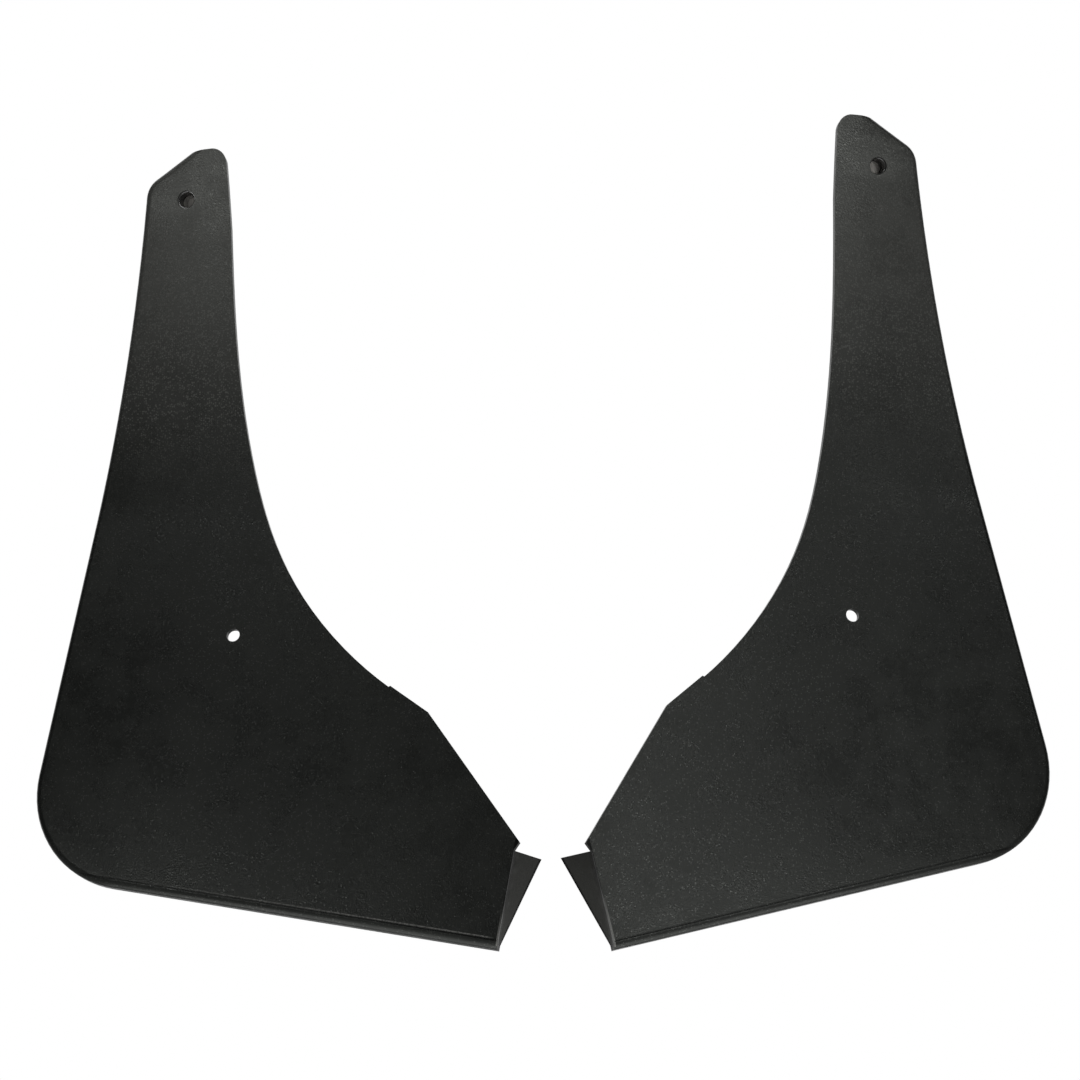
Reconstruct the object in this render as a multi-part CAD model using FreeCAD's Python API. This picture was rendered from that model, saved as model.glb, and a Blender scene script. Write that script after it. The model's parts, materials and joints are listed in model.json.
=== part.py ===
"""A pair of moulded splash guards for a vehicle's wheel arches, each with a ferruled upper fixing hole.

The right guard is drawn in its own frame: X runs outboard, Y runs back from the front face, Z runs up.
The front face is flat below BEND_START_Z and curls forward over the wheel above it.
"""

import FreeCAD
import Part

import math
import os

V = FreeCAD.Vector

# Lay-out of the pair, mm and degrees; each guard lies with its own lean, turn and height
MIDDLE_OFFSET = 5.15
YAW = 10.5
LEFT_LAY = (-0.85, 0.2, 0.0)
RIGHT_LAY = (3.35, 0.3, -2.2)

# Front face: flat panel, then an arc that leans forward
BEND_START_Z = 30.0
BEND_R = 565.0

# Main sizes of one guard
OUTER_X = 271.6
OUTER_Z = -155.5
BOTTOM_X = 24.1
BOTTOM_Z = -211.1
TOP_Z = 238.2
STRIP_X = 159.7

# Rest of the outline, (x, z)
TOP_R = 8.0
NUB_X = 180.7
NUB_RISE = 0.5
NUB_RUN = 2.0
CHAMFER_END = (206.7, 224.1)
CHAMFER_R = 13.0
OUTER_CORNER_R = 54.0
FOLD_TOP = (14.2, -163.2)
DIAGONAL_FOOT = (11.3, -159.2)
DIAGONAL_TOP = (56.4, -88.5)
TRIM_STEP = (75.9, -72.7)
CONCAVE_EDGE = ((76.9, -73.1), (102.3, -47.8), (132.0, -1.6), (150.8, 59.1), (159.0, 121.0), (STRIP_X, 195.0))

# Shell
WALL = 3.0
LIP_WALL = 2.5
LIP_DEPTH = 8.0
EDGE_R = 3.8
STEP_RISE = 0.4

# Wing at the inner end
WING_TIP = (4.4, 26.0, -162.2)
WING_LAP = 0.4
WING_WALL = 2.5
WING_TOE_IN = 0.5

# Upper fixing: blind hole, boss and ferrule
UPPER_HOLE = (184.3, 212.9)
HOLE_R = 5.0
BOSS_R = 8.5
BOSS_DEPTH = 11.0
HOLE_FLOOR = 2.0
FERRULE_RECESS = 1.0
FERRULE_BORE_R = 4.25
FERRULE_SINK = 0.4
FERRULE_CLEARANCE = 0.05

# Lower screw hole
LOWER_HOLE = (159.9, -37.6)
LOWER_HOLE_R = 3.5

# Stiffening ribs behind the panel
RIB_THICK = 1.8
RIB_REACH = 10.0
RIB_SHY = 1.5
OUTER_RIBS = 5
OUTER_RIB_Z = (-80.0, 150.0)
BOTTOM_RIBS = 4
BOTTOM_RIB_X = (60.0, 190.0)

# Working room beyond the guard for the cutting shapes
MARGIN = 60.0

# Corners of the outline that several features take their places from
NUB = (NUB_X, TOP_Z + NUB_RISE)
OUTER_CORNER = (OUTER_X, OUTER_Z)
BOTTOM_CORNER = (BOTTOM_X, BOTTOM_Z)


def point(xz, y=0.0):
    return V(xz[0], y, xz[1])


def unit(vector):
    return vector / vector.Length


def corner_tangents(before, corner, after, radius):
    """Arc start, middle and end of a rounded corner."""
    one = unit(before - corner)
    two = unit(after - corner)
    half = one.getAngle(two) / 2.0
    reach = radius / math.tan(half)
    centre = corner + unit(one + two) * (radius / math.sin(half))
    middle = centre - unit(one + two) * radius
    return corner + one * reach, middle, corner + two * reach


def rounded_chain(corners):
    """Edges through (x, z, radius) corners; the two ends stay sharp."""
    points = [point(c) for c in corners]
    edges = []
    here = points[0]
    for i in range(1, len(points) - 1):
        if corners[i][2] > 0:
            start, middle, end = corner_tangents(points[i - 1], points[i], points[i + 1], corners[i][2])
            edges.append(Part.makeLine(here, start))
            edges.append(Part.Arc(start, middle, end).toShape())
            here = end
        else:
            edges.append(Part.makeLine(here, points[i]))
            here = points[i]
    edges.append(Part.makeLine(here, points[-1]))
    return edges


def sharp(xz):
    return (xz[0], xz[1], 0.0)


def front_outline():
    """Edges of the guard's outline, from the top of the concave edge round to its foot and back."""
    concave = [point(p) for p in CONCAVE_EDGE]
    chain = rounded_chain([
        sharp(CONCAVE_EDGE[-1]),
        (STRIP_X, TOP_Z, TOP_R),
        sharp((NUB_X - NUB_RUN, TOP_Z)),
        sharp(NUB),
        (*CHAMFER_END, CHAMFER_R),
        (*OUTER_CORNER, OUTER_CORNER_R),
        sharp(BOTTOM_CORNER),
        sharp(FOLD_TOP),
        sharp(DIAGONAL_FOOT),
        sharp(DIAGONAL_TOP),
        sharp(TRIM_STEP),
        sharp(CONCAVE_EDGE[0]),
    ])
    spline = Part.BSplineCurve()
    spline.interpolate(concave)
    return chain + [spline.toShape()]


def prism(edges, start=-MARGIN, end=MARGIN):
    """Solid along Y from a closed outline drawn at y = 0."""
    wire = Part.Wire(Part.__sortEdges__(edges))
    face = Part.Face(wire)
    face.translate(V(0, start, 0))
    return face.extrude(V(0, end - start, 0))


def face_point(x, z, depth=0.0):
    """Point at a depth behind the front face, measured square to it."""
    angle = face_angle(z)
    reach = BEND_R + depth
    if angle <= 0:
        return V(x, depth, z)
    return V(x, reach * math.cos(angle) - BEND_R, BEND_START_Z + reach * math.sin(angle))


def face_angle(z):
    """How far the front face leans forward at a height, in radians."""
    return math.asin(max(0.0, z - BEND_START_Z) / BEND_R)


def inward(z):
    """Unit direction square to the front face, pointing back."""
    angle = face_angle(z)
    return V(0, math.cos(angle), math.sin(angle))


def band(front, back):
    """Solid between two depths behind the front face, over the whole guard."""
    low = BOTTOM_CORNER[1] - MARGIN
    high = TOP_Z + MARGIN
    middle = (BEND_START_Z + high) / 2.0
    left = -MARGIN
    rows = [face_point(left, z, front) for z in (low, BEND_START_Z, middle, high)]
    rear = [face_point(left, z, back) for z in (low, BEND_START_Z, middle, high)]
    edges = [
        Part.makeLine(rows[0], rows[1]),
        Part.Arc(rows[1], rows[2], rows[3]).toShape(),
        Part.makeLine(rows[3], rear[3]),
        Part.Arc(rear[3], rear[2], rear[1]).toShape(),
        Part.makeLine(rear[1], rear[0]),
        Part.makeLine(rear[0], rows[0]),
    ]
    face = Part.Face(Part.Wire(edges))
    return face.extrude(V(OUTER_CORNER[0] + 2.0 * MARGIN, 0, 0))


def moved_line(one, two, distance):
    """A line moved sideways towards the guard's middle, as a point and a direction."""
    start = point(one)
    along = unit(point(two) - start)
    side = V(along.z, 0, -along.x)
    return start + side * distance, along


def crossing(first, second):
    """Where two lines in the XZ plane meet, as (x, z)."""
    gap = second[0] - first[0]
    across = first[1].x * second[1].z - first[1].z * second[1].x
    reach = (gap.x * second[1].z - gap.z * second[1].x) / across
    meet = first[0] + first[1] * reach
    return (meet.x, meet.z)


def at_z(line, z):
    """(x, z) on a line at a height."""
    reach = (z - line[0].z) / line[1].z
    return ((line[0] + line[1] * reach).x, z)


def at_x(line, x):
    """(x, z) on a line at a width."""
    reach = (x - line[0].x) / line[1].x
    return (x, (line[0] + line[1] * reach).z)


def pocket_outline():
    """Region left open behind the panel: inside the lips, and open past the concave and diagonal edges."""
    chamfer = moved_line(NUB, CHAMFER_END, LIP_WALL)
    outer = moved_line(CHAMFER_END, OUTER_CORNER, LIP_WALL)
    bottom = moved_line(OUTER_CORNER, BOTTOM_CORNER, LIP_WALL)
    high = TOP_Z + MARGIN / 2.0
    left = -MARGIN / 2.0
    return rounded_chain([
        (left, high, 0.0),
        sharp(at_z(chamfer, high)),
        sharp(crossing(chamfer, outer)),
        (*crossing(outer, bottom), OUTER_CORNER_R - LIP_WALL),
        sharp(at_x(bottom, left)),
        (left, high, 0.0),
    ])


def lip_edges(block, depth):
    """Front edges along the chamfer, the outer side and the bottom, on the surface at a depth."""
    chosen = []
    for edge in block.Edges:
        ends = [v.Point for v in edge.Vertexes]
        if len(ends) != 2:
            continue
        middle = edge.valueAt((edge.FirstParameter + edge.LastParameter) / 2.0)
        on_face = all((p - face_point(p.x, p.z, depth)).Length < 0.01 for p in ends + [middle])
        if on_face and outside(middle):
            chosen.append(edge)
    return chosen


def outside(spot):
    """True for a point on the chamfer, the outer side, the outer corner or the bottom line."""
    corners = (NUB, CHAMFER_END, OUTER_CORNER, BOTTOM_CORNER)
    lines = [moved_line(one, two, 0.0) for one, two in zip(corners, corners[1:])]
    gaps = [((spot - start).cross(along)).y for start, along in lines]
    near = min(abs(g) for g in gaps) < OUTER_CORNER_R / 4.0
    return near and spot.x > BOTTOM_X + EDGE_R and not inner_side(spot)


def inner_side(spot):
    """True for a point on the strip's inner side or its top edge."""
    return spot.x < NUB_X and spot.z > BEND_START_Z


def rounded_block(depth):
    """Solid guard whose front face lies at a depth, with its outer front edges rounded."""
    block = prism(front_outline()).common(band(depth, LIP_DEPTH))
    return block.makeFillet(EDGE_R, lip_edges(block, depth))


def above_step():
    """Region of the front face that stands proud of the rounded bottom lip."""
    step = moved_line(OUTER_CORNER, BOTTOM_CORNER, EDGE_R)
    left = at_x(step, -MARGIN)
    right = at_x(step, OUTER_X + MARGIN)
    high = TOP_Z + MARGIN
    corners = [left, right, (right[0], high), (left[0], high), left]
    return prism(rounded_chain([sharp(c) for c in corners]))


def shell():
    """Panel with its return lip; the face ends in a low step above the rounded bottom lip."""
    proud = rounded_block(0.0).common(above_step())
    block = rounded_block(STEP_RISE).fuse(proud)
    pocket = prism(pocket_outline()).common(band(WALL, LIP_DEPTH + MARGIN / 4.0))
    return block.cut(pocket)


def wing():
    """Triangular return at the inner end, flared at its top and nearly square to the face at its foot."""
    fold = moved_line(BOTTOM_CORNER, FOLD_TOP, WING_LAP)
    root = point(at_z(fold, FOLD_TOP[1]), WING_LAP)
    heel = point(at_z(fold, BOTTOM_Z + EDGE_R), WING_LAP)
    tip = V(*WING_TIP)
    toe = V(BOTTOM_X - WING_TOE_IN, LIP_DEPTH - WING_WALL / 2.0, BOTTOM_Z + EDGE_R / 2.0)
    thick = unit((heel - root).cross(tip - root)) * WING_WALL
    if thick.x < 0:
        thick = thick * -1.0
    top = Part.makePolygon([root, tip, tip + thick, root + thick, root])
    low = Part.makePolygon([heel, toe, toe + thick, heel + thick, heel])
    return Part.makeLoft([top, low], True, True)


def rod(centre, direction, radius, start, end):
    """Cylinder along a direction, between two distances from a point."""
    return Part.makeCylinder(radius, end - start, centre + direction * start, direction)


def boss():
    """Hollow post behind the upper hole, still solid."""
    centre = face_point(*UPPER_HOLE)
    return rod(centre, inward(UPPER_HOLE[1]), BOSS_R, WALL / 2.0, BOSS_DEPTH)


def upper_hole():
    """Blind hole that takes the ferrule."""
    centre = face_point(*UPPER_HOLE)
    return rod(centre, inward(UPPER_HOLE[1]), HOLE_R, -HOLE_R, BOSS_DEPTH - HOLE_FLOOR)


def lower_hole():
    return rod(face_point(*LOWER_HOLE), inward(LOWER_HOLE[1]), LOWER_HOLE_R, -HOLE_R, LIP_DEPTH)


def rib(spot, along):
    """Short rib from a lip, square to it, on the back of the panel."""
    side = V(along.z, 0, -along.x)
    near = spot + side * (LIP_WALL / 2.0) - along * (RIB_THICK / 2.0)
    corners = [near, near + along * RIB_THICK, near + along * RIB_THICK + side * RIB_REACH, near + side * RIB_REACH]
    outline = rounded_chain([(c.x, c.z, 0.0) for c in corners + corners[:1]])
    return prism(outline).common(band(WALL / 2.0, LIP_DEPTH - RIB_SHY))


def spread(low, high, count):
    """Evenly spaced values from low to high."""
    return [low + (high - low) * i / (count - 1) for i in range(count)]


def ribs():
    outer = moved_line(CHAMFER_END, OUTER_CORNER, 0.0)
    bottom = moved_line(OUTER_CORNER, BOTTOM_CORNER, 0.0)
    made = [rib(point(at_z(outer, z)), outer[1]) for z in spread(*OUTER_RIB_Z, OUTER_RIBS)]
    made += [rib(point(at_x(bottom, x)), bottom[1]) for x in spread(*BOTTOM_RIB_X, BOTTOM_RIBS)]
    return made


def guard():
    """One right-hand guard in its own frame."""
    body = shell()
    body = body.fuse([wing(), boss()] + ribs())
    body = body.cut(upper_hole())
    body = body.cut(lower_hole())
    return body.removeSplitter()


def ferrule():
    """Smooth thin-walled liner of the upper hole, seated on the hole's floor."""
    centre = face_point(*UPPER_HOLE)
    back = inward(UPPER_HOLE[1])
    end = BOSS_DEPTH - HOLE_FLOOR
    tube = rod(centre, back, HOLE_R - FERRULE_CLEARANCE, FERRULE_RECESS, end)
    bore = rod(centre, back, FERRULE_BORE_R, 0.0, end + HOLE_R)
    mouth = centre + back * (FERRULE_RECESS - FERRULE_SINK)
    sink = Part.makeCone(FERRULE_BORE_R + 2.0 * FERRULE_SINK, FERRULE_BORE_R, 2.0 * FERRULE_SINK, mouth, back)
    return tube.cut(bore).cut(sink)


def placed(shape, lay):
    """A right-hand shape moved from the guard's own frame to its place beside the other guard."""
    lean, turn, height = lay
    foot = point(BOTTOM_CORNER)
    shape = shape.copy()
    shape.rotate(foot, V(0, -1, 0), turn)
    shape.rotate(foot, V(1, 0, 0), lean)
    shape.rotate(V(0, 0, 0), V(0, 0, 1), YAW)
    shape.translate(V(MIDDLE_OFFSET, 0, height))
    return shape


def build():
    """Every node, keyed by name, centred on the pair's own box."""
    panel = guard()
    liner = ferrule()
    flip = V(1, 0, 0)
    nodes = {
        "left_flap": placed(panel, LEFT_LAY).mirror(V(0, 0, 0), flip),
        "left_ferrule": placed(liner, LEFT_LAY).mirror(V(0, 0, 0), flip),
        "right_flap": placed(panel, RIGHT_LAY),
        "right_ferrule": placed(liner, RIGHT_LAY),
    }
    box = Part.makeCompound(list(nodes.values())).optimalBoundingBox(False, False)
    for shape in nodes.values():
        shape.translate(box.Center * -1.0)
    return nodes


def main():
    os.makedirs("parts", exist_ok=True)
    for name, shape in build().items():
        shape.exportStep(f"parts/{name}.step")
        print(name, shape.isValid(), len(shape.Solids), round(shape.Volume, 1))


main()
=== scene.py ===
"""Looks of a pair of moulded splash guards: grained black plastic, glossy ferrules and moulding marks."""

import json
import logging
import math
from collections.abc import Iterable
from dataclasses import dataclass, field
from enum import Enum

import bmesh
import bpy
from mathutils import Matrix, Vector
from mathutils.bvhtree import BVHTree

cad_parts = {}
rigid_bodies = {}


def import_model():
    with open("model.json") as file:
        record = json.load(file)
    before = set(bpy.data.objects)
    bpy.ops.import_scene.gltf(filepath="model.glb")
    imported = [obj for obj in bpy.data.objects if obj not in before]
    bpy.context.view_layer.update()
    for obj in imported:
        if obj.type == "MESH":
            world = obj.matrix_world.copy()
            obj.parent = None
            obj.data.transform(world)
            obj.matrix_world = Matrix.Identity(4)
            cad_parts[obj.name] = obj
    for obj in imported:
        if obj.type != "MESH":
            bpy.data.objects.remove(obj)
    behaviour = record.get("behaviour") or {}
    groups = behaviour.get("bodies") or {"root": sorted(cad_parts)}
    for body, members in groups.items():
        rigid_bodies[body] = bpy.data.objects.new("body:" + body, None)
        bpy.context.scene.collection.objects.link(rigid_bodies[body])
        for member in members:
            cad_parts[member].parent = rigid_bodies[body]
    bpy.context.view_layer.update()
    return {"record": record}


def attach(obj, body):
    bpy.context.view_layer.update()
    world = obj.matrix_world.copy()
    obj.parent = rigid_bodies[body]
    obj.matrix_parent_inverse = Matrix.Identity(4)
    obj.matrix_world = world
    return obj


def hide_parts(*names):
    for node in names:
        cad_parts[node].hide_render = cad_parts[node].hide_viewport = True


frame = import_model()

LOG = logging.getLogger("splash_guards")
BODY = "root"
MM_PER_M = 1000.0
WELD_M = 2e-6
SLIVER_M = 1e-6
NEAR_M = 1e-5

Colour = tuple[float, float, float, float]
Span = tuple[float, float]


class Side(Enum):
    """Which guard of the pair."""

    LEFT = "left"
    RIGHT = "right"

    def node(self, part: str) -> str:
        """Name of this side's CAD node."""
        return f"{self.value}_{part}"


def mount(name: str) -> dict:
    """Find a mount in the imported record.

    Args:
        name: The mount's name.

    Returns:
        The mount's entry.
    """
    return next(m for m in frame["record"]["mounts"] if m["name"] == name)


@dataclass(frozen=True)
class Plane:
    """A plane in the row's frame."""

    spot: Vector
    normal: Vector


@dataclass(frozen=True)
class Grit:
    """One kind of noise: its cycles per metre, its octaves and the weight of the finer ones."""

    per_m: float
    octaves: float
    weight: float = 0.5


class NodeGraph:
    """Short-hand for building one material's node tree."""

    # How softly a cell is chosen for a dot, and where in the cell the dot fades out.
    dot_choice: float = 0.15
    dot_edge: Span = (0.3, 0.5)

    def __init__(self, name: str) -> None:
        """Start an empty surface material.

        Args:
            name: The material's name.
        """
        self.material = bpy.data.materials.new(name)
        self.material.use_nodes = True
        self.tree = self.material.node_tree
        self.tree.nodes.clear()
        self.output = self.tree.nodes.new("ShaderNodeOutputMaterial")

    def add(self, kind: str, **values: object) -> bpy.types.Node:
        """Add a node and set its properties.

        Args:
            kind: The node's type name.
            **values: Properties of the node.

        Returns:
            The new node.
        """
        node = self.tree.nodes.new(kind)
        for key, value in values.items():
            setattr(node, key, value)
        return node

    def link(self, source: bpy.types.NodeSocket, target: bpy.types.NodeSocket) -> None:
        """Join two sockets."""
        self.tree.links.new(source, target)

    def put(self, socket: bpy.types.NodeSocket, value: object) -> None:
        """Link a socket or set a plain value, whichever is given.

        Args:
            socket: The input to fill.
            value: Another socket, or a number or colour.
        """
        if isinstance(value, bpy.types.NodeSocket):
            self.link(value, socket)
        else:
            socket.default_value = value

    def place(self) -> bpy.types.NodeSocket:
        """Coordinates of the piece itself."""
        return self.add("ShaderNodeTexCoord").outputs["Object"]

    def noise(self, place: bpy.types.NodeSocket, grit: Grit) -> bpy.types.NodeSocket:
        """Noise value.

        Args:
            place: Coordinates.
            grit: The kind of noise.

        Returns:
            The noise value.
        """
        node = self.add("ShaderNodeTexNoise")
        self.link(place, node.inputs["Vector"])
        node.inputs["Scale"].default_value = grit.per_m
        node.inputs["Detail"].default_value = grit.octaves
        node.inputs["Roughness"].default_value = grit.weight
        return node.outputs["Fac"]

    def ramp(self, value: bpy.types.NodeSocket, low: float, high: float,
             out_low: float = 0.0, out_high: float = 1.0, smooth: bool = False) -> bpy.types.NodeSocket:
        """Map a range on to another, clamped.

        Args:
            value: The input value.
            low: Input that gives out_low.
            high: Input that gives out_high.
            out_low: Lowest result.
            out_high: Highest result.
            smooth: Ease in and out.

        Returns:
            The mapped value.
        """
        node = self.add("ShaderNodeMapRange", clamp=True)
        if smooth:
            node.interpolation_type = "SMOOTHSTEP"
        self.link(value, node.inputs["Value"])
        for key, number in (("From Min", low), ("From Max", high), ("To Min", out_low), ("To Max", out_high)):
            node.inputs[key].default_value = number
        return node.outputs["Result"]

    def mix(self, fac: object, one: object, two: object) -> bpy.types.NodeSocket:
        """Blend two colours.

        Args:
            fac: Share of the second colour, as a socket or a number.
            one: First colour.
            two: Second colour.

        Returns:
            The blended colour.
        """
        node = self.add("ShaderNodeMix", data_type="RGBA")
        # The node has sockets for every kind of value: 6, 7 and output 2 are the colours.
        for number, value in ((0, fac), (6, one), (7, two)):
            self.put(node.inputs[number], value)
        return node.outputs[2]

    def math(self, operation: str, one: object, two: object = 0.0) -> bpy.types.NodeSocket:
        """Arithmetic on two values.

        Args:
            operation: Blender's name for it.
            one: First value.
            two: Second value.

        Returns:
            The result.
        """
        node = self.add("ShaderNodeMath", operation=operation)
        self.put(node.inputs[0], one)
        self.put(node.inputs[1], two)
        return node.outputs[0]

    def dots(self, place: bpy.types.NodeSocket, per_m: float, skipped: float) -> bpy.types.NodeSocket:
        """Small round dots at random places, as a mask.

        Args:
            place: Coordinates.
            per_m: Cells per metre, each of which may hold a dot.
            skipped: Share of the cells that stay empty.

        Returns:
            The mask.
        """
        cells = self.add("ShaderNodeTexVoronoi", feature="F1")
        self.link(place, cells.inputs["Vector"])
        cells.inputs["Scale"].default_value = per_m
        parts = self.add("ShaderNodeSeparateColor")
        self.link(cells.outputs["Color"], parts.inputs[0])
        chosen = self.ramp(parts.outputs[0], skipped, skipped + self.dot_choice)
        return self.math("MULTIPLY", chosen, self.ramp(cells.outputs["Distance"], *self.dot_edge, 1.0, 0.0))

    def beyond(self, place: bpy.types.NodeSocket, plane: Plane) -> bpy.types.NodeSocket:
        """Signed distance from a plane.

        Args:
            place: Coordinates.
            plane: The plane.

        Returns:
            Distance in metres, positive on the side the plane's normal points to.
        """
        dot = self.add("ShaderNodeVectorMath", operation="DOT_PRODUCT")
        self.link(place, dot.inputs[0])
        dot.inputs[1].default_value = tuple(plane.normal)
        return self.math("SUBTRACT", dot.outputs["Value"], plane.normal.dot(plane.spot))

    def band(self, distance: bpy.types.NodeSocket, limits: Span,
             blur: float = 0.0003) -> bpy.types.NodeSocket:
        """One between two distances and zero outside them.

        Args:
            distance: The distance to test, in metres.
            limits: Where the band starts and where it ends.
            blur: Width of each soft edge.

        Returns:
            The mask.
        """
        start, end = limits
        rise = self.ramp(distance, start - blur / 2.0, start + blur / 2.0)
        return self.math("MULTIPLY", rise, self.ramp(distance, end - blur / 2.0, end + blur / 2.0, 1.0, 0.0))

    def all_of(self, *masks: bpy.types.NodeSocket) -> bpy.types.NodeSocket:
        """Product of several masks.

        Args:
            *masks: The masks, each between 0 and 1.

        Returns:
            The product.
        """
        product = masks[0]
        for mask in masks[1:]:
            product = self.math("MULTIPLY", product, mask)
        return product

    def finish(self, surface: bpy.types.NodeSocket) -> bpy.types.Material:
        """Send a shader to the output and return the material."""
        self.link(surface, self.output.inputs["Surface"])
        return self.material

    def principled(self, inputs: dict[str, object]) -> bpy.types.Material:
        """End the tree with a Principled surface.

        Args:
            inputs: Sockets or plain values, by the shader's input names.

        Returns:
            The finished material.
        """
        shader = self.add("ShaderNodeBsdfPrincipled")
        for name, value in inputs.items():
            self.put(shader.inputs[name], value)
        return self.finish(shader.outputs[0])


@dataclass(frozen=True)
class GuardFrame:
    """A guard's own axes: outboard, back from the flat face, and up, measured in metres.

    The places repeat the solids' own sizes, so they must be changed together with the part's source.
    """

    side: Side
    in_plane_degrees: float
    hole: Vector = Vector((0.1599, 0.0015, -0.0376))
    corner: Vector = Vector((0.0241, 0.0, -0.2111))
    outer_corner: Vector = Vector((0.2716, 0.0, -0.1555))
    fold_top: Vector = Vector((0.0142, 0.0, -0.1632))
    wing_tip: Vector = Vector((0.0044, 0.026, -0.1622))
    wing_toe: Vector = Vector((0.0236, 0.0068, -0.2092))

    def axes(self) -> tuple[Vector, Vector, Vector]:
        """Directions of the guard's axes.

        Returns:
            Outboard, back and up.
        """
        back = -Vector(mount(self.side.node("lower_hole"))["axis"])
        across = back.cross(Vector((0.0, 0.0, 1.0))).normalized()
        if self.side is Side.LEFT:
            across = -across
        up = back.cross(across) if self.side is Side.LEFT else across.cross(back)
        turn = math.radians(self.in_plane_degrees)
        outboard = across * math.cos(turn) + up * math.sin(turn)
        return outboard, back, up * math.cos(turn) - across * math.sin(turn)

    def direction(self, local: Vector) -> Vector:
        """Turn a direction in the guard's frame into one in the row's frame."""
        return sum((axis * size for axis, size in zip(self.axes(), local)), Vector())

    def plane(self, spot: Vector, normal: Vector) -> Plane:
        """Plane through a place, both given in the guard's frame.

        Args:
            spot: A point on the plane.
            normal: Its direction.

        Returns:
            The plane in the row's frame.
        """
        origin = Vector(mount(self.side.node("lower_hole"))["pos_m"])
        return Plane(origin + self.direction(spot - self.hole), self.direction(normal.normalized()))

    def face(self) -> Plane:
        """The flat front face."""
        return self.plane(self.corner, Vector((0.0, 1.0, 0.0)))

    def upright(self, height: float) -> Plane:
        """Level plane at a height."""
        return self.plane(Vector((0.0, 0.0, height)), Vector((0.0, 0.0, 1.0)))

    def outboard(self) -> Plane:
        """Plane square to the outboard axis, through the middle of the pair."""
        return self.plane(Vector(), Vector((1.0, 0.0, 0.0)))

    def bottom_line(self) -> Plane:
        """Plane along the bottom edge, square to the face."""
        along = self.outer_corner - self.corner
        return self.plane(self.corner, Vector((-along.z, 0.0, along.x)))

    def fold(self) -> Plane:
        """Plane along the fold, square to the face; outboard is positive."""
        along = self.fold_top - self.corner
        return self.plane(self.corner, Vector((along.z, 0.0, -along.x)))

    def wing_edge(self, start: Vector, end: Vector) -> Plane:
        """Plane through an edge of the wing, square to the wing; the wing is on its positive side.

        Args:
            start: One end of the edge.
            end: The other end.

        Returns:
            The plane.
        """
        middle = (self.fold_top + self.wing_tip + self.wing_toe) / 3.0
        square = (self.wing_tip - self.fold_top).cross(self.wing_toe - self.fold_top)
        normal = (end - start).cross(square).normalized()
        return self.plane(start, normal if normal.dot(middle - start) > 0.0 else -normal)


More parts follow.
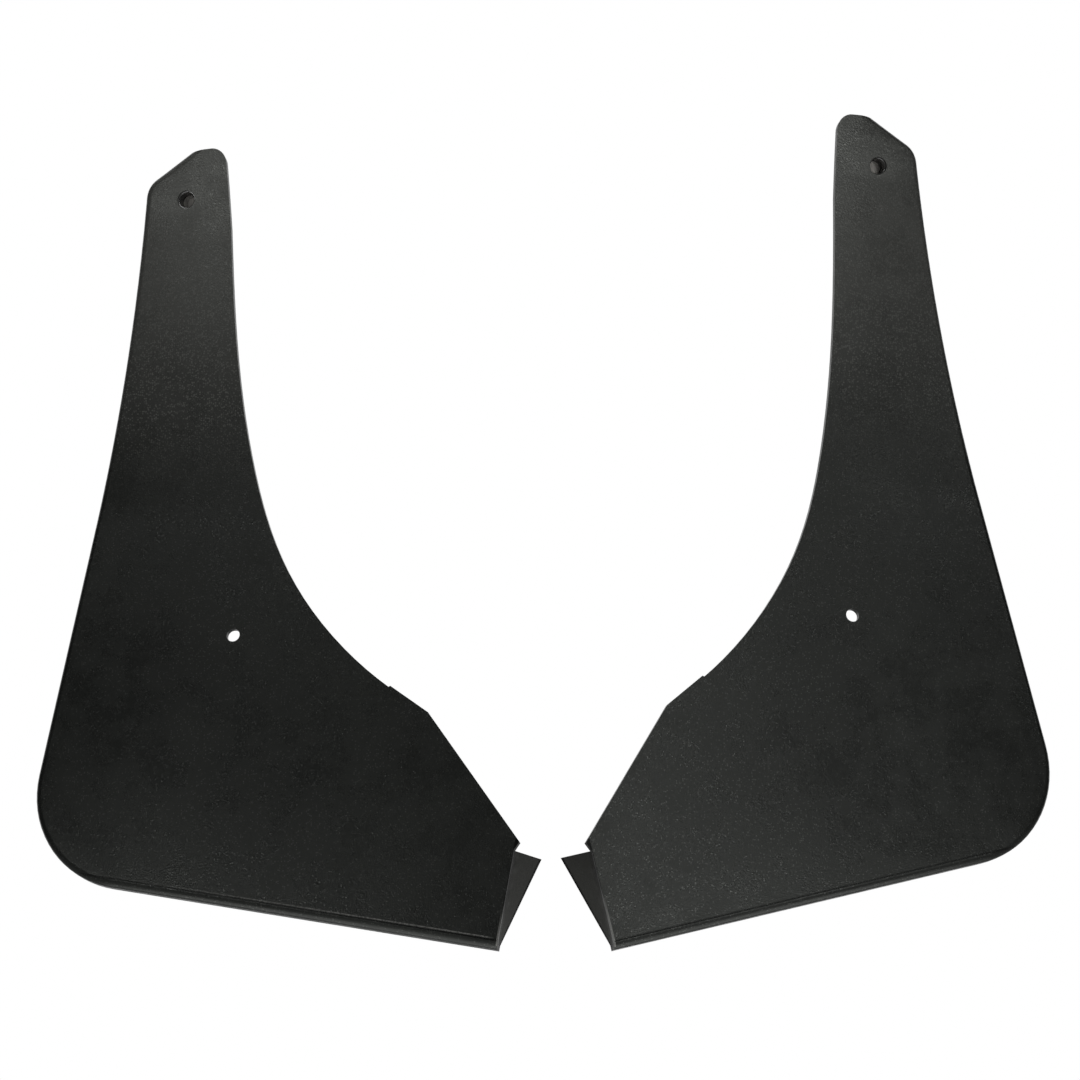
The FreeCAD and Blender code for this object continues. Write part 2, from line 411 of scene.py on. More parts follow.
@dataclass(frozen=True)
class GrainedPlastic:
    """Injection-moulded black polypropylene with a fine pebble grain, and painted light and shade on it.

    The spans of a noise are its own values. The spans of a mask are metres from the plane that its
    method names, or metres of height.
    """

    guard: GuardFrame
    # How strong the painted highlight on the step's crest is, how pale the painted light on the upper strip
    # is, and the height where the fold's painted shade gives way to its painted highlight.
    crest_highlight: float = 0.0
    strip_light_grey: float = 0.071
    strip_light_top: float = 0.6
    fold_shine_top: float = -0.185
    # The plastic's two greys, in soft clouds.
    deep: Colour = (0.0072, 0.0078, 0.0072, 1.0)
    lifted: Colour = (0.0125, 0.0134, 0.0122, 1.0)
    cloud: Grit = Grit(9.0, 3.0, 0.55)
    cloud_span: Span = (0.38, 0.66)
    # The grain's relief.
    grain_per_m: float = 1300.0
    grain_smooth: float = 0.6
    grain_span: Span = (0.1, 0.75)
    grain_depth: float = 0.00003
    fine: Grit = Grit(2000.0, 2.0, 0.6)
    fine_depth: float = 0.00003
    # Gloss, and the specks that glint.
    gloss: float = 0.285
    gloss_tint: Colour = (0.965, 1.0, 0.945, 1.0)
    ior: float = 1.49
    speck_per_m: float = 1200.0
    speck_skipped: float = 0.75
    speck_pale: float = 0.15
    speck_gloss: float = 0.65
    painted_gloss: float = 0.08
    # Roughness, from the fine grain and from larger patches.
    rough: Span = (0.24, 0.36)
    rough_span: Span = (0.25, 0.75)
    fine_share: float = 0.55
    patch: Grit = Grit(55.0, 3.0, 0.6)
    patch_span: Span = (0.35, 0.7)
    # Handling marks.
    scuff_colour: Colour = (0.05, 0.05, 0.047, 1.0)
    scuff_pale: float = 0.35
    scuff_turn: tuple[float, float, float] = (0.3, 0.5, 0.9)
    scuff_stretch: tuple[float, float, float] = (1.0, 1.0, 0.04)
    scuff_lines: Grit = Grit(520.0, 1.0)
    scuff_lines_span: Span = (0.7, 0.78)
    scuff_patches: Grit = Grit(14.0, 2.0)
    scuff_patches_span: Span = (0.55, 0.7)
    # Painted light on the upper strip, by height, with painted glints: the strip's forward bend catches the
    # light.
    strip_light_tint: tuple[float, float, float] = (0.99, 1.0, 0.93)
    strip_light_rise: Span = (0.015, 0.176)
    strip_light_fall: Span = (0.160, 0.225)
    strip_light_per_m: float = 900.0
    strip_light_skipped: float = 0.5
    strip_light_dull: float = 0.76
    strip_light_spark: float = 3.0
    # The matt wing, with painted light: a paler grey than the face's same plastic.
    wing_painted_light: Colour = (0.039, 0.0393, 0.0365, 1.0)
    wing_depth: Span = (0.0006, 0.0012)
    wing_fold: Span = (0.0, 0.0005)
    # Painted shade: dark lines.
    shadow_colour: Colour = (0.003, 0.003, 0.003, 1.0)
    front_depth: Span = (0.0012, 0.0016)
    step_band: Span = (0.0034, 0.0043)
    step_blur: float = 0.0007
    step_dark: float = 0.6
    step_fold: Span = (0.0004, 0.0012)
    crease_depth: Span = (0.0008, 0.005)
    crease_dark: float = 0.8
    crease_fold: Span = (0.0001, 0.0005)
    crease_rise: Span = (-0.002, 0.004)
    rear_edge: Span = (0.0008, 0.0021)
    top_edge: Span = (0.0002, 0.0006)
    top_dark: float = 0.7
    # Painted highlights: bright lines.
    shine_colour: Colour = (0.15, 0.149, 0.142, 1.0)
    shine_band: Span = (0.0001, 0.0008)
    shine_fall: Span = (-0.012, 0.0)
    crest_band: Span = (0.0043, 0.0050)
    crest_reach: Span = (0.07, 0.24)
    crest_fold: Span = (0.002, 0.006)
    crest_grit: Grit = Grit(1200.0, 2.0, 0.6)
    crest_grit_span: Span = (0.35, 0.6)
    crest_least: float = 0.2

    def build(self) -> bpy.types.Material:
        """Make the material.

        Returns:
            The finished material.
        """
        g = NodeGraph(self.guard.side.node("grained_plastic"))
        place = g.place()
        fine = g.noise(place, self.fine)
        speck = g.dots(place, self.speck_per_m, self.speck_skipped)
        wing = self.wing(g, place)
        shadow = self.shadow(g, place, wing)
        # Painted light: the grey that the upper strip is lightened towards.
        strip_light_colour = (*(self.strip_light_grey * part for part in self.strip_light_tint), 1.0)
        tone = g.mix(g.ramp(g.noise(place, self.cloud), *self.cloud_span), self.deep, self.lifted)
        # Over the plastic's tone: pale specks and handling marks, then painted light on the strip and the
        # wing, painted highlights and painted shade.
        for mask, colour in (
                (g.math("MULTIPLY", speck, self.speck_pale), self.scuff_colour),
                (g.math("MULTIPLY", self.scuffs(g, place), self.scuff_pale), self.scuff_colour),
                (self.strip_light(g, place), strip_light_colour),
                (wing, self.wing_painted_light),
                (self.shine(g, place), self.shine_colour),
                (shadow, self.shadow_colour)):
            tone = g.mix(mask, tone, colour)
        relief = self.bump(g, self.pebble(g, place), self.grain_depth, None)
        sheen = g.ramp(speck, 0.0, 1.0, self.gloss, self.speck_gloss)
        matt = g.ramp(g.math("MAXIMUM", wing, shadow), 0.0, 1.0, 1.0, self.painted_gloss)
        return g.principled({
            "Base Color": tone,
            "Roughness": self.roughness(g, place, fine),
            "Normal": self.bump(g, fine, self.fine_depth, relief),
            "Specular IOR Level": g.math("MULTIPLY", sheen, matt),
            "Specular Tint": self.gloss_tint,
            "IOR": self.ior,
        })

    def pebble(self, g: NodeGraph, place: bpy.types.NodeSocket) -> bpy.types.NodeSocket:
        """Rounded grain cells.

        Args:
            g: The node tree.
            place: Coordinates.

        Returns:
            Height between 0 and 1.
        """
        cells = g.add("ShaderNodeTexVoronoi", feature="SMOOTH_F1")
        g.link(place, cells.inputs["Vector"])
        cells.inputs["Scale"].default_value = self.grain_per_m
        cells.inputs["Smoothness"].default_value = self.grain_smooth
        return g.ramp(cells.outputs["Distance"], *self.grain_span, 1.0, 0.0)

    def roughness(self, g: NodeGraph, place: bpy.types.NodeSocket,
                  fine: bpy.types.NodeSocket) -> bpy.types.NodeSocket:
        """Roughness that follows the fine grain and drifts in patches.

        Args:
            g: The node tree.
            place: Coordinates.
            fine: The fine grain's noise.

        Returns:
            The roughness.
        """
        patch = g.ramp(g.noise(place, self.patch), *self.patch_span)
        both = g.math("ADD", g.math("MULTIPLY", fine, self.fine_share),
                      g.math("MULTIPLY", patch, 1.0 - self.fine_share))
        return g.ramp(both, *self.rough_span, *self.rough)

    def front(self, g: NodeGraph, place: bpy.types.NodeSocket) -> bpy.types.NodeSocket:
        """Flat front face, as a mask."""
        return g.ramp(g.beyond(place, self.guard.face()), *self.front_depth, 1.0, 0.0)

    def wing(self, g: NodeGraph, place: bpy.types.NodeSocket) -> bpy.types.NodeSocket:
        """Matt inner wing: behind the face and inboard of the fold.

        Args:
            g: The node tree.
            place: Coordinates.

        Returns:
            The mask.
        """
        behind = g.ramp(g.beyond(place, self.guard.face()), *self.wing_depth)
        inboard = g.ramp(g.beyond(place, self.guard.fold()), *self.wing_fold, 1.0, 0.0)
        return g.all_of(behind, inboard)

    def shadow(self, g: NodeGraph, place: bpy.types.NodeSocket,
               wing: bpy.types.NodeSocket) -> bpy.types.NodeSocket:
        """Painted shade: dark lines under the step's crest, along the upper fold, and round the wing's free
        edges.

        Args:
            g: The node tree.
            place: Coordinates.
            wing: Mask of the wing.

        Returns:
            The mask.
        """
        guard = self.guard
        past_fold = g.beyond(place, guard.fold())
        step = g.all_of(
            self.front(g, place),
            g.band(g.beyond(place, guard.bottom_line()), self.step_band, self.step_blur),
            g.ramp(past_fold, *self.step_fold))
        crease = g.all_of(
            g.ramp(g.beyond(place, guard.face()), *self.crease_depth, self.crease_dark, 0.0),
            g.ramp(past_fold, *self.crease_fold, 1.0, 0.0),
            g.ramp(g.beyond(place, guard.upright(self.fold_shine_top)), *self.crease_rise))
        rear_plane = guard.wing_edge(guard.wing_tip, guard.wing_toe)
        rear = g.ramp(g.beyond(place, rear_plane), *self.rear_edge, 1.0, 0.0)
        top_plane = guard.wing_edge(guard.fold_top, guard.wing_tip)
        top = g.ramp(g.beyond(place, top_plane), *self.top_edge, self.top_dark, 0.0)
        edges = g.all_of(wing, g.math("MAXIMUM", rear, top))
        lines = g.math("MAXIMUM", g.math("MULTIPLY", step, self.step_dark), crease)
        return g.math("MAXIMUM", lines, edges)

    def shine(self, g: NodeGraph, place: bpy.types.NodeSocket) -> bpy.types.NodeSocket:
        """Painted highlights: a bright line along the lower fold, and one along the step's crest that fades
        outboard.

        Args:
            g: The node tree.
            place: Coordinates.

        Returns:
            The mask.
        """
        guard = self.guard
        front = self.front(g, place)
        past_fold = g.beyond(place, guard.fold())
        low = g.ramp(g.beyond(place, guard.upright(self.fold_shine_top)), *self.shine_fall, 1.0, 0.0)
        fold = g.all_of(front, g.band(past_fold, self.shine_band), low)
        # Painted highlight on the step's crest, strongest inboard.
        crest = g.all_of(
            front,
            g.band(g.beyond(place, guard.bottom_line()), self.crest_band),
            g.ramp(g.noise(place, self.crest_grit), *self.crest_grit_span, self.crest_least, 1.0),
            g.ramp(g.beyond(place, guard.outboard()), *self.crest_reach, self.crest_highlight, 0.0),
            g.ramp(past_fold, *self.crest_fold))
        return g.math("MAXIMUM", fold, crest)

    def strip_light(self, g: NodeGraph, place: bpy.types.NodeSocket) -> bpy.types.NodeSocket:
        """Painted light on the upper strip, where its forward bend catches the light, speckled with painted
        glints.

        Args:
            g: The node tree.
            place: Coordinates.

        Returns:
            The mask, zero on the flat panel.
        """
        parts = g.add("ShaderNodeSeparateXYZ")
        g.link(place, parts.inputs["Vector"])
        rise = g.ramp(parts.outputs["Z"], *self.strip_light_rise, smooth=True)
        fall = g.ramp(parts.outputs["Z"], *self.strip_light_fall, 1.0, self.strip_light_top, smooth=True)
        dots = g.dots(place, self.strip_light_per_m, self.strip_light_skipped)
        return g.all_of(rise, fall, g.ramp(dots, 0.0, 1.0, self.strip_light_dull, self.strip_light_spark))

    def scuffs(self, g: NodeGraph, place: bpy.types.NodeSocket) -> bpy.types.NodeSocket:
        """Sparse hairline handling marks.

        Args:
            g: The node tree.
            place: Coordinates.

        Returns:
            The mask, mostly zero.
        """
        turn = g.add("ShaderNodeMapping")
        g.link(place, turn.inputs["Vector"])
        turn.inputs["Rotation"].default_value = self.scuff_turn
        turn.inputs["Scale"].default_value = self.scuff_stretch
        lines = g.noise(turn.outputs["Vector"], self.scuff_lines)
        where = g.ramp(g.noise(place, self.scuff_patches), *self.scuff_patches_span)
        return g.math("MULTIPLY", g.ramp(lines, *self.scuff_lines_span), where)

    def bump(self, g: NodeGraph, height: bpy.types.NodeSocket, depth: float,
             under: bpy.types.NodeSocket | None) -> bpy.types.NodeSocket:
        """Add one layer of relief.

        Args:
            g: The node tree.
            height: Height between 0 and 1.
            depth: Full height in metres.
            under: Normal of the layer below, if any.

        Returns:
            The bumped normal.
        """
        node = g.add("ShaderNodeBump")
        node.inputs["Strength"].default_value = 1.0
        node.inputs["Distance"].default_value = depth
        g.link(height, node.inputs["Height"])
        if under is not None:
            g.link(under, node.inputs["Normal"])
        return node.outputs["Normal"]


@dataclass(frozen=True)
class GlossyLiner:
    """Smooth dark liner of the fixing hole."""

    name: str = "glossy_ferrule"
    colour: Colour = (0.04, 0.04, 0.038, 1.0)
    roughness: float = 0.12
    smear: Grit = Grit(900.0, 2.0)
    smear_span: Span = (0.3, 0.7)
    smear_range: Span = (0.8, 1.4)
    ior: float = 1.53

    def build(self) -> bpy.types.Material:
        """Make the material.

        Returns:
            The finished material.
        """
        g = NodeGraph(self.name)
        least, most = (self.roughness * part for part in self.smear_range)
        rough = g.ramp(g.noise(g.place(), self.smear), *self.smear_span, least, most)
        return g.principled({"Base Color": self.colour, "Roughness": rough, "IOR": self.ior})


@dataclass(frozen=True)
class LitHoleFloor:
    """Matt floor of the blind fixing hole, painted pale: painted light that stands for the brightness seen in
    the hole, where the real floor is the same black plastic.
    """

    name: str = "lit_hole_floor"
    low: Colour = (0.47, 0.455, 0.42, 1.0)
    high: Colour = (0.58, 0.56, 0.52, 1.0)
    mottle: Grit = Grit(700.0, 2.0)
    roughness: float = 0.7
    gloss: float = 0.2

    def build(self) -> bpy.types.Material:
        """Make the material.

        Returns:
            The finished material.
        """
        g = NodeGraph(self.name)
        tone = g.mix(g.noise(g.place(), self.mottle), self.low, self.high)
        return g.principled({
            "Base Color": tone, "Roughness": self.roughness, "Specular IOR Level": self.gloss})


@dataclass(frozen=True)
class PlainCard:
    """Even matt surface for the floor and the studio's dark cards."""

    name: str
    colour: Colour

    def build(self) -> bpy.types.Material:
        """Make the material.

        Returns:
            The finished material.
        """
        g = NodeGraph(self.name)
        shader = g.add("ShaderNodeBsdfDiffuse")
        shader.inputs["Color"].default_value = self.colour
        return g.finish(shader.outputs[0])


def add_object(name: str, data: bpy.types.ID) -> bpy.types.Object:
    """Put a mesh, lamp or camera in the scene.

    Args:
        name: Object name.
        data: What the object carries.

    Returns:
        The new object, at the origin.
    """
    made = bpy.data.objects.new(name, data)
    bpy.context.scene.collection.objects.link(made)
    return made


def plain_mesh(name: str, points: Iterable[Vector],
               faces: Iterable[tuple[int, ...]] = ()) -> bpy.types.Object:
    """Make an object from points and faces.

    Args:
        name: Object name.
        points: Vertex positions in metres.
        faces: Rings of vertex numbers.

    Returns:
        The new object, at the origin.
    """
    mesh = bpy.data.meshes.new(name)
    mesh.from_pydata([tuple(p) for p in points], [], list(faces))
    return add_object(name, mesh)


def object_from(mesh: bmesh.types.BMesh, name: str) -> bpy.types.Object:
    """Turn a worked mesh into an object and free it.

    Args:
        mesh: The worked mesh.
        name: Object name.

    Returns:
        The new object, at the origin.
    """
    data = bpy.data.meshes.new(name)
    mesh.to_mesh(data)
    mesh.free()
    return add_object(name, data)


def welded_copy(node: str, name: str, sharp_degrees: float) -> bpy.types.Object:
    """Copy a CAD node's mesh, merge its loose triangles and shade it smooth between sharp edges.

    Args:
        node: CAD node to copy.
        name: Name of the copy.
        sharp_degrees: Edges that turn more than this stay sharp.

    Returns:
        The copy, at the origin.
    """
    source = bpy.data.objects[node]
    mesh = bmesh.new()
    mesh.from_mesh(source.data)
    mesh.transform(source.matrix_world)
    bmesh.ops.remove_doubles(mesh, verts=mesh.verts, dist=WELD_M)
    bmesh.ops.dissolve_degenerate(mesh, edges=mesh.edges, dist=SLIVER_M)
    limit = math.radians(sharp_degrees)
    for face in mesh.faces:
        face.smooth = True
    for edge in mesh.edges:
        edge.smooth = len(edge.link_faces) == 2 and edge.calc_face_angle(math.pi) < limit
    return object_from(mesh, name)


class Recipe:
    """A Geometry Nodes tree with named inputs, used once and turned into a plain mesh."""

    def __init__(self, name: str) -> None:
        """Start a tree with a geometry input and output.

        Args:
            name: The tree's name.
        """
        self.tree = bpy.data.node_groups.new(name, "GeometryNodeTree")
        face = self.tree.interface
        face.new_socket("Geometry", in_out="INPUT", socket_type="NodeSocketGeometry")
        face.new_socket("Geometry", in_out="OUTPUT", socket_type="NodeSocketGeometry")
        self.start = self.tree.nodes.new("NodeGroupInput")
        self.end = self.tree.nodes.new("NodeGroupOutput")

    def size(self, name: str, kind: str = "NodeSocketFloat") -> bpy.types.NodeSocket:
        """Add a named input.

        Args:
            name: The input's name.
            kind: Its socket type.

        Returns:
            The socket inside the tree.
        """
        self.tree.interface.new_socket(name, in_out="INPUT", socket_type=kind)
        return self.start.outputs[name]

    def add(self, kind: str, **links: object) -> bpy.types.Node:
        """Add a node with its inputs filled.

        Args:
            kind: The node's type name.
            **links: Values or sockets by input name, with _ for a space.

        Returns:
            The new node.
        """
        node = self.tree.nodes.new(kind)
        for key, value in links.items():
            socket = node.inputs[key.replace("_", " ")]
            if isinstance(value, bpy.types.NodeSocket):
                self.tree.links.new(value, socket)
            else:
                socket.default_value = value
        return node

    def close(self, geometry: bpy.types.NodeSocket, material: bpy.types.Material) -> None:
        """End the tree with Realize Instances and Set Material.

        Args:
            geometry: What the tree has made.
            material: Its finish.
        """
        real = self.add("GeometryNodeRealizeInstances", Geometry=geometry)
        dressed = self.add("GeometryNodeSetMaterial", Geometry=real.outputs[0], Material=material)
        self.tree.links.new(dressed.outputs[0], self.end.inputs[0])

    def make(self, seed: bpy.types.Object, values: dict[str, object]) -> bpy.types.Object:
        """Run the tree on an object and keep the result as its plain mesh.

        Args:
            seed: Object that carries the starting geometry.
            values: Input values by name.

        Returns:
            The same object with the made mesh and no modifier.
        """
        modifier = seed.modifiers.new("recipe", "NODES")
        modifier.node_group = self.tree
        names = {i.name: i.identifier for i in self.tree.interface.items_tree if i.in_out == "INPUT"}
        for name, value in values.items():
            modifier[names[name]] = value
        graph = bpy.context.evaluated_depsgraph_get()
        graph.update()
        made = bpy.data.meshes.new_from_object(seed.evaluated_get(graph))
        seed.modifiers.clear()
        seed.data = made
        return seed


@dataclass
class MouldedGuard:
    """One splash guard: the grained panel and the marks that moulding leaves on it."""

    side: Side
    plastic: bpy.types.Material
    sharp_degrees: float = 28.0
    pin_radius: float = 0.0030
    pin_height: float = 0.00025
    pin_pitch: float = 0.058
    pin_edge_room: float = 0.012
    pin_sides: int = 20
    pin_columns: tuple[int, int] = (-3, 3)
    pin_rows: tuple[int, int] = (-3, 2)
    pin_spread: Span = (0.92, 1.08)
    pin_seed: int = 7
    probe_height: float = 0.05
    ring_places: int = 8
    flat_cosine: float = 0.999
    flat_depth: float = 2e-5
    panel: bpy.types.Object = field(init=False)

    def build(self) -> list[bpy.types.Object]:
        """Make every piece of this guard.

        Returns:
            The pieces made.
        """
        self.panel = welded_copy(self.side.node("flap"), self.side.node("panel"), self.sharp_degrees)
        self.panel.data.materials.clear()
        self.panel.data.materials.append(self.plastic)
        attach(self.panel, BODY)
        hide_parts(self.side.node("flap"))
        pins = self.ejector_marks()
        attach(pins, BODY)
        return [self.panel, pins]

    def panel_axes(self) -> tuple[Vector, Vector, Vector]:
        """Directions of the flat panel, from its screw hole.

        Returns:
            Outboard, up and back directions.
        """
        back = -Vector(mount(self.side.node("lower_hole"))["axis"])
        outboard = Vector((1.0 if self.side is Side.RIGHT else -1.0, 0.0, 0.0))
        outboard = (outboard - back * outboard.dot(back)).normalized()
        up = back.cross(outboard) if self.side is Side.LEFT else outboard.cross(back)
        return outboard, up.normalized(), back

    def ejector_marks(self) -> bpy.types.Object:
        """Low round pads that the mould's ejector pins leave on the panel's back.

        Returns:
            One object with every pad.
        """
        outboard, up, back = self.panel_axes()
        spots = self.pin_spots(outboard, up, back)
        seed = plain_mesh(self.side.node("ejector_marks"), spots)
        recipe = Recipe("ejector_marks")
        radius = recipe.size("Radius")
        height = recipe.size("Height")
        sides = recipe.size("Sides", "NodeSocketInt")
        axis = recipe.size("Axis", "NodeSocketVector")
        pad = recipe.add("GeometryNodeMeshCylinder", Vertices=sides, Radius=radius, Depth=height)
        align = recipe.tree.nodes.new("FunctionNodeAlignEulerToVector")
        align.axis = "Z"
        recipe.tree.links.new(axis, align.inputs["Vector"])
        size = recipe.add("FunctionNodeRandomValue", Seed=self.pin_seed)
        # Inputs 2 and 3 are the least and most of a plain number.
        size.inputs[2].default_value, size.inputs[3].default_value = self.pin_spread
        placed = recipe.add("GeometryNodeInstanceOnPoints", Points=recipe.start.outputs[0],
                            Instance=pad.outputs["Mesh"], Rotation=align.outputs[0], Scale=size.outputs[1])
        recipe.close(placed.outputs[0], self.plastic)
        return recipe.make(seed, {
            "Radius": self.pin_radius,
            "Height": self.pin_height * 2.0,
            "Sides": self.pin_sides,
            "Axis": tuple(back),
        })

    def pin_spots(self, outboard: Vector, up: Vector, back: Vector) -> list[Vector]:
        """Places on the flat panel's back that keep clear of its edges and the screw hole.

        Args:
            outboard: Direction away from the other guard.
            up: Direction up the panel.
            back: Direction square to the panel, away from its face.

        Returns:
            Points on the back surface.
        """
        tree = BVHTree.FromObject(self.panel, bpy.context.evaluated_depsgraph_get())
        middle = Vector(mount(self.side.node("lower_hole"))["pos_m"])
        spots = []
        for column in range(*self.pin_columns):
            for row in range(*self.pin_rows):
                sideways, upward = (column + 0.5) * self.pin_pitch, (row + 0.5) * self.pin_pitch
                aim = middle + outboard * sideways + up * upward
                if self.flat_around(tree, aim, outboard, up, back):
                    spots.append(tree.ray_cast(aim + back * self.probe_height, -back)[0])
        return spots

    def flat_around(self, tree: BVHTree, aim: Vector, outboard: Vector, up: Vector, back: Vector) -> bool:
        """Test that the back of the panel is flat for a pin's room round a place.

        Args:
            tree: The panel's surface.
            aim: The place.
            outboard: Sideways direction.
            up: Upward direction.
            back: Direction to look from.

        Returns:
            True where the place and the ring round it lie on one plane.
        """
        depths = []
        for step in range(self.ring_places + 1):
            turn = step * math.tau / self.ring_places
            reach = self.pin_edge_room if step < self.ring_places else 0.0
            offset = outboard * (math.cos(turn) * reach) + up * (math.sin(turn) * reach)
            hit, normal, _, distance = tree.ray_cast(aim + offset + back * self.probe_height, -back)
            if hit is None or normal.dot(back) < self.flat_cosine:
                return False
            depths.append(distance)
        return max(depths) - min(depths) < self.flat_depth


@dataclass
class FixingFerrule:
    """The glossy liner of one upper fixing hole, and the floor disc it stands on, which carries painted
    light.
    """

    side: Side
    liner: bpy.types.Material
    floor: bpy.types.Material
    sharp_degrees: float = 35.0
    rim_radius: float = 0.0005
    rim_steps: int = 4
    floor_room: float = 0.0001
    floor_thick: float = 0.0001
    floor_sides: int = 40

    def bore(self) -> tuple[Vector, Vector, float]:
        """The liner's bore.

        Returns:
            Its axis, its place and its radius in metres.
        """
        found = mount(self.side.node("upper_bore"))
        return Vector(found["axis"]), Vector(found["pos_m"]), found["dims"]["r_mm"] / MM_PER_M

    def build(self) -> list[bpy.types.Object]:
        """Make the liner and the floor.

        Returns:
            The pieces made.
        """
        made = welded_copy(self.side.node("ferrule"), self.side.node("liner"), self.sharp_degrees)
        self.round_rim(made)
        made.data.materials.clear()
        made.data.materials.append(self.liner)
        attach(made, BODY)
        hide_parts(self.side.node("ferrule"))
        disc = self.floor_disc()
        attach(disc, BODY)
        return [made, disc]

    def round_rim(self, made: bpy.types.Object) -> None:
        """Round the inner edge of the liner's mouth.

        Args:
            made: The liner.
        """
        axis, spot, radius = self.bore()
        mesh = bmesh.new()
        mesh.from_mesh(made.data)
        top = max((v.co - spot).dot(axis) for v in mesh.verts)

        def on_rim(vertex: bmesh.types.BMVert) -> bool:
            """Whether a corner lies on the mouth's inner edge.

            Args:
                vertex: The corner.

            Returns:
                True on the edge.
            """
            offset = vertex.co - spot
            height = offset.dot(axis)
            return height > top - NEAR_M and abs((offset - axis * height).length - radius) < NEAR_M

        rim = [edge for edge in mesh.edges if all(on_rim(vertex) for vertex in edge.verts)]
        bmesh.ops.bevel(mesh, geom=rim, offset=self.rim_radius, segments=self.rim_steps, profile=0.5,
                        affect="EDGES", clamp_overlap=True)
        for face in mesh.faces:
            face.smooth = True
        mesh.to_mesh(made.data)
        mesh.free()

    def floor_disc(self) -> bpy.types.Object:
        """Thin disc on the floor of the hole, for the painted light of the hole's floor.

        Returns:
            The disc.
        """
        axis, spot, bore_radius = self.bore()
        panel = bpy.data.objects[self.side.node("panel")]
        tree = BVHTree.FromObject(panel, bpy.context.evaluated_depsgraph_get())
        floor = tree.ray_cast(spot, -axis)[0]
        radius = bore_radius - self.floor_room
        mesh = bmesh.new()
        bmesh.ops.create_cone(mesh, cap_ends=True, segments=self.floor_sides, depth=self.floor_thick,
                              radius1=radius, radius2=radius)
        turn = axis.to_track_quat("Z", "Y").to_matrix().to_4x4()
        mesh.transform(Matrix.Translation(floor + axis * self.floor_thick) @ turn)
        made = object_from(mesh, self.side.node("hole_floor"))
        made.data.materials.append(self.floor)
        return made


def toward(azimuth: float, elevation: float) -> Vector:
    """Direction from the pair to a place in the studio.

    Args:
        azimuth: Degrees from straight ahead of the faces, positive to the right.
        elevation: Degrees above level.

    Returns:
        The direction.
    """
    turn, tilt = math.radians(azimuth), math.radians(elevation)
    return Vector((math.sin(turn) * math.cos(tilt), -math.cos(turn) * math.cos(tilt), math.sin(tilt)))


@dataclass(frozen=True)
class SoftLamp:
    """Soft area lamp aimed at the pair from a direction."""

    name: str
    azimuth: float
    elevation: float
    watts: float
    size: float = 0.25
    distance: float = 1.9

    def build(self) -> None:
        """Add the lamp."""
        direction = toward(self.azimuth, self.elevation)
        data = bpy.data.lights.new(self.name, "AREA")
        data.size = self.size
        data.energy = self.watts
        made = add_object(self.name, data)
        made.location = direction * self.distance
        made.rotation_euler = direction.to_track_quat("Z", "Y").to_euler()
        made.visible_camera = False


LAMPS = (
    SoftLamp("left_strip", -34.0, 0.0, 2.2),
    SoftLamp("left_panel", -31.0, 25.0, 0.5),
    SoftLamp("left_high", -45.0, 38.0, 1.85, size=0.5),
    SoftLamp("right_strip", 34.0, -12.0, 3.0),
    SoftLamp("right_band", 27.0, -6.0, 1.5),
    SoftLamp("right_corner", 21.0, 6.0, 1.05),
    SoftLamp("right_panel", 27.0, 13.0, 0.65),
    SoftLamp("right_high", 42.0, 22.0, 1.0),
    SoftLamp("right_side", 55.0, 13.0, 0.5),
)


@dataclass(frozen=True)
class GlowPanel:
    """Low lamp that lies level under the pair and shines up."""

    name: str
    middle_y: float
    depth: float
    watts: float
    width: float = 0.9
    height: float = -0.5

    def build(self) -> None:
        """Add the lamp."""
        data = bpy.data.lights.new(self.name, "AREA")
        data.shape = "RECTANGLE"
        data.size, data.size_y = self.width, self.depth
        data.energy = self.watts
        made = add_object(self.name, data)
        made.location = (0.0, self.middle_y, self.height)
        made.rotation_euler = (math.pi, 0.0, 0.0)
        made.visible_camera = False


GLOW = (
    GlowPanel("under", 0.03, 0.35, 1.65),
    GlowPanel("under_front", -0.38, 0.4, 0.5),
)


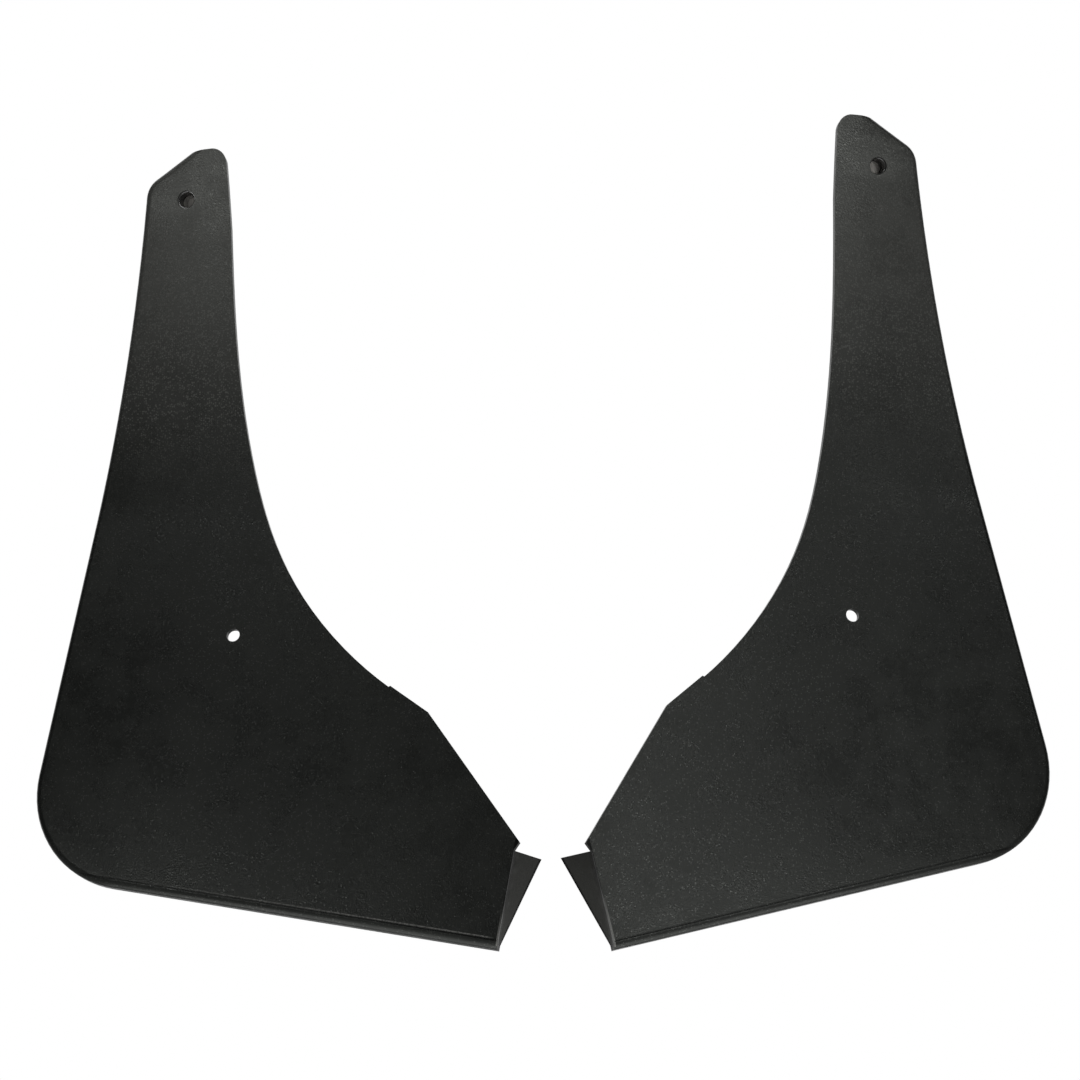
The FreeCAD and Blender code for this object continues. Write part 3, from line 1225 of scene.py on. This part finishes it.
@dataclass
class Studio:
    """Floor, cards, world, lamps and camera."""

    floor_drop: float = 0.55
    floor_half: float = 4.0
    floor_finish: PlainCard = PlainCard("pale_floor", (0.86, 0.86, 0.86, 1.0))
    card_radius: float = 2.4
    card_low: float = -0.5
    card_high: float = 2.6
    card_steps: int = 24
    card_arc: float = 230.0
    card_finish: PlainCard = PlainCard("dark_card", (0.12, 0.12, 0.12, 1.0))
    camera_distance: float = 1.1
    camera_azimuth: float = -2.58
    camera_elevation: float = -22.08
    camera_roll: float = 2.34
    lens: float = 70.53
    sensor_width: float = 36.0
    aim: tuple[float, float, float] = (-0.00044, -0.01114, -0.01365)
    world_fill: float = 0.35
    world_white: float = 1.0

    def build(self) -> None:
        """Make the whole studio."""
        self.floor()
        self.cards()
        self.world()
        for lamp in LAMPS + GLOW:
            lamp.build()
        self.camera()

    def floor(self) -> None:
        """Pale floor, below the camera."""
        half = self.floor_half
        square = ((-half, -half), (half, -half), (half, half), (-half, half))
        corners = [Vector((x, y, -self.floor_drop)) for x, y in square]
        made = plain_mesh("floor", corners, [(0, 1, 2, 3)])
        made.data.materials.append(self.floor_finish.build())

    def cards(self) -> None:
        """Dark cards round the front of the set, hidden from the camera.

        They darken what the gloss reflects, and they shade the set and the floor too.
        """
        points = []
        faces = []
        for step in range(self.card_steps + 1):
            turn = math.radians(-self.card_arc / 2.0 + self.card_arc * step / self.card_steps)
            x, y = self.card_radius * math.sin(turn), -self.card_radius * math.cos(turn)
            points += [Vector((x, y, self.card_low)), Vector((x, y, self.card_high))]
            if step:
                last = 2 * step
                faces.append((last - 2, last, last + 1, last - 1))
        made = plain_mesh("dark_cards", points, faces)
        made.data.materials.append(self.card_finish.build())
        made.visible_camera = False

    def world(self) -> None:
        """White behind everything, and a soft even fill on the object."""
        world = bpy.data.worlds.new("studio")
        bpy.context.scene.world = world
        world.use_nodes = True
        tree = world.node_tree
        tree.nodes.clear()
        path = tree.nodes.new("ShaderNodeLightPath")
        seen = path.outputs["Is Camera Ray"]
        for ray in ("Is Glossy Ray", "Is Transmission Ray"):
            either = tree.nodes.new("ShaderNodeMath")
            either.operation = "MAXIMUM"
            tree.links.new(seen, either.inputs[0])
            tree.links.new(path.outputs[ray], either.inputs[1])
            seen = either.outputs[0]
        mix = tree.nodes.new("ShaderNodeMixShader")
        tree.links.new(seen, mix.inputs["Fac"])
        for number, strength in ((1, self.world_fill), (2, self.world_white)):
            white = tree.nodes.new("ShaderNodeBackground")
            white.inputs["Color"].default_value = (1.0, 1.0, 1.0, 1.0)
            white.inputs["Strength"].default_value = strength
            tree.links.new(white.outputs[0], mix.inputs[number])
        out = tree.nodes.new("ShaderNodeOutputWorld")
        tree.links.new(mix.outputs[0], out.inputs["Surface"])

    def camera(self) -> None:
        """Camera in front of and below the pair, turned a little about its own axis."""
        roll = math.radians(self.camera_roll)
        back = toward(self.camera_azimuth, self.camera_elevation)
        right = (-back).cross(Vector((0.0, 0.0, 1.0))).normalized()
        up = right.cross(-back)
        right, up = right * math.cos(roll) - up * math.sin(roll), right * math.sin(roll) + up * math.cos(roll)
        data = bpy.data.cameras.new("camera")
        data.lens = self.lens
        data.sensor_width = self.sensor_width
        made = add_object("camera", data)
        turn = Matrix((right, up, back)).transposed().to_4x4()
        made.matrix_world = Matrix.Translation(Vector(self.aim) + back * self.camera_distance) @ turn
        bpy.context.scene.camera = made


def set_view() -> None:
    """Plain colour handling."""
    bpy.context.scene.view_settings.view_transform = "Standard"


def main() -> None:
    """Build the pair and its studio."""
    logging.basicConfig(level=logging.INFO, format="%(name)s: %(message)s")
    left = GrainedPlastic(
        GuardFrame(Side.LEFT, in_plane_degrees=0.2),
        crest_highlight=1.0, strip_light_grey=0.085, strip_light_top=1.0, fold_shine_top=-0.193)
    right = GrainedPlastic(GuardFrame(Side.RIGHT, in_plane_degrees=0.3))
    plastics = {finish.guard.side: finish.build() for finish in (left, right)}
    liner = GlossyLiner().build()
    # Painted light for the floor discs of the blind holes.
    floor = LitHoleFloor().build()
    for side, plastic in plastics.items():
        for assembly in (MouldedGuard(side, plastic), FixingFerrule(side, liner, floor)):
            for piece in assembly.build():
                LOG.info("%s: %d faces", piece.name, len(piece.data.polygons))
    set_view()
    Studio().build()


if __name__ == "__main__":
    main()
